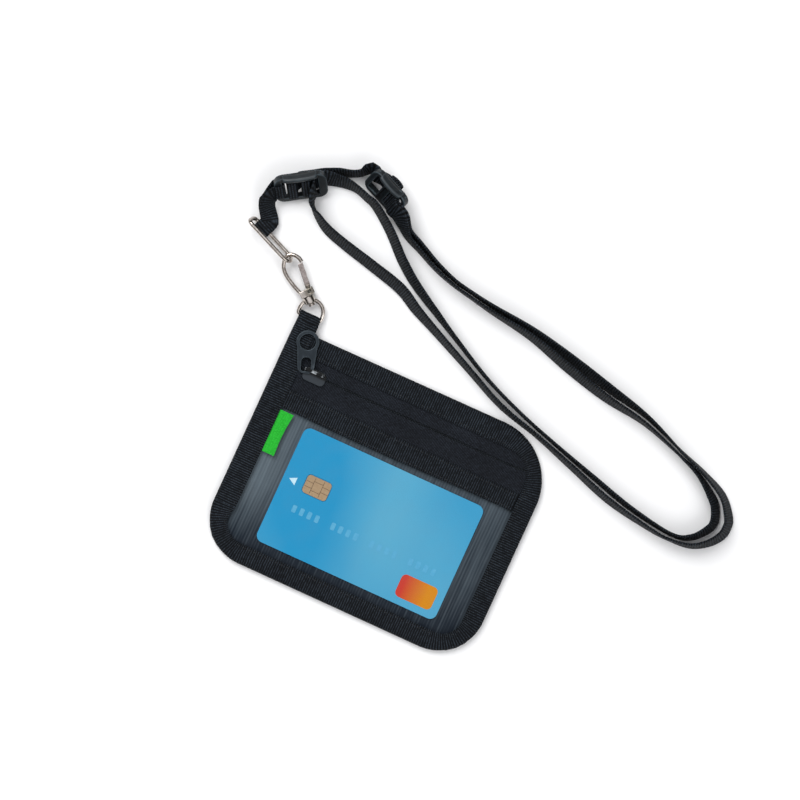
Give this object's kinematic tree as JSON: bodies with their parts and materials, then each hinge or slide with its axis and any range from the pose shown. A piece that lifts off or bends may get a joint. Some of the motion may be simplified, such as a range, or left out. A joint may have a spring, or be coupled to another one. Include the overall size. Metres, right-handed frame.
{
  "type": "neck wallet",
  "caption": "Flat card pouch with a clear window, a zipped pocket and a loop tab, hung by a snap hook and ring on a flat webbing lanyard with plastic adjusters.",
  "frame": {"origin": "centre of the pouch's outline on its back face, which lies on the table", "axes": "+X along the zip toward the end away from the hook, +Y from the card toward the zip and the lanyard, +Z out of the clear window"},
  "size_m": [0.2466, 0.1826, 0.0148],
  "materials": {
    "black_webbing": "woven",
    "charcoal_tape": "woven",
    "clear_film": "clear",
    "back_cloth": "woven",
    "zip_tape_cloth": "woven",
    "coil_plastic": "satin",
    "slider_enamel": "gloss",
    "puller_metal": "satin",
    "card_plastic": "satin",
    "chip_metal": "polished",
    "green_label": "woven",
    "nickel": "polished",
    "spring_steel": "satin",
    "black_plastic": "satin"
  },
  "bodies": {
    "pouch": {"back_panel": "back_cloth", "window_sheet": "clear_film", "zip_tape_lower": "zip_tape_cloth", "zip_tape_upper": "zip_tape_cloth", "cross_tape": "charcoal_tape", "edge_binding": "charcoal_tape", "side_binding": "charcoal_tape", "side_label": "green_label", "zip_coil_lower": "coil_plastic", "zip_coil_upper": "coil_plastic", "strap_outer_run": "black_webbing", "strap_inner_run": "black_webbing", "strap_end_loop": "black_webbing", "joiner_buckle": "black_plastic"},
    "slider": {"slider_body": "slider_enamel"},
    "puller": {"puller": "puller_metal"},
    "card": {"card": "card_plastic", "card_chip": "chip_metal"},
    "eye": {"swivel_eye": "nickel"},
    "hook": {"hook_body": "nickel", "swivel_pin": "nickel", "gate_pin": "spring_steel", "gate_spring": "spring_steel"},
    "gate": {"hook_gate": "nickel"},
    "ring": {"lanyard_ring": "nickel"},
    "adjuster": {"slide_buckle": "black_plastic", "strap_end_fold": "black_webbing"}
  },
  "joints": [
    {"name": "zip_slide", "type": "slide", "parent": "pouch", "child": "slider", "axis": [1, 0, 0], "range_m": [0, 0.09]},
    {"name": "puller_turn", "type": "hinge", "parent": "slider", "child": "puller", "pos_m": [-0.0513, 0.0372, 0.0056], "axis": [0, 0, 1], "range_deg": [-65, 20]},
    {"name": "card_slide", "type": "slide", "parent": "pouch", "child": "card", "axis": [0, 1, 0], "range_m": [0, 0.017]},
    {"name": "eye_swing", "type": "hinge", "parent": "pouch", "child": "eye", "pos_m": [-0.0597, 0.05772, 0.00208], "axis": [1, 0, 0], "range_deg": [0, 20], "deforming": ["strap_end_loop"]},
    {"name": "hook_swivel", "type": "hinge", "parent": "eye", "child": "hook", "pos_m": [-0.06254, 0.06497, 0.00316], "axis": [-0.766, 0.6357, 0.095], "continuous": true, "deforming": ["strap_end_loop"]},
    {"name": "gate_open", "type": "hinge", "parent": "hook", "child": "gate", "pos_m": [-0.064, 0.06863, 0.00371], "axis": [0, -0.1478, 0.989], "range_deg": [0, 20], "stiffness_Nm_per_rad": 0.0005, "springref_deg": -17.19},
    {"name": "ring_swing", "type": "hinge", "parent": "hook", "child": "ring", "pos_m": [-0.07824, 0.078, 0.00511], "axis": [0.6428, 0.7576, 0.1132], "range_deg": [0, 22], "deforming": ["strap_end_loop"]},
    {"name": "adjuster_slide", "type": "slide", "parent": "pouch", "child": "adjuster", "axis": [0.9205, -0.3907, 0], "range_m": [-0.006, 0.008], "deforming": ["strap_outer_run", "strap_inner_run"]}
  ]
}
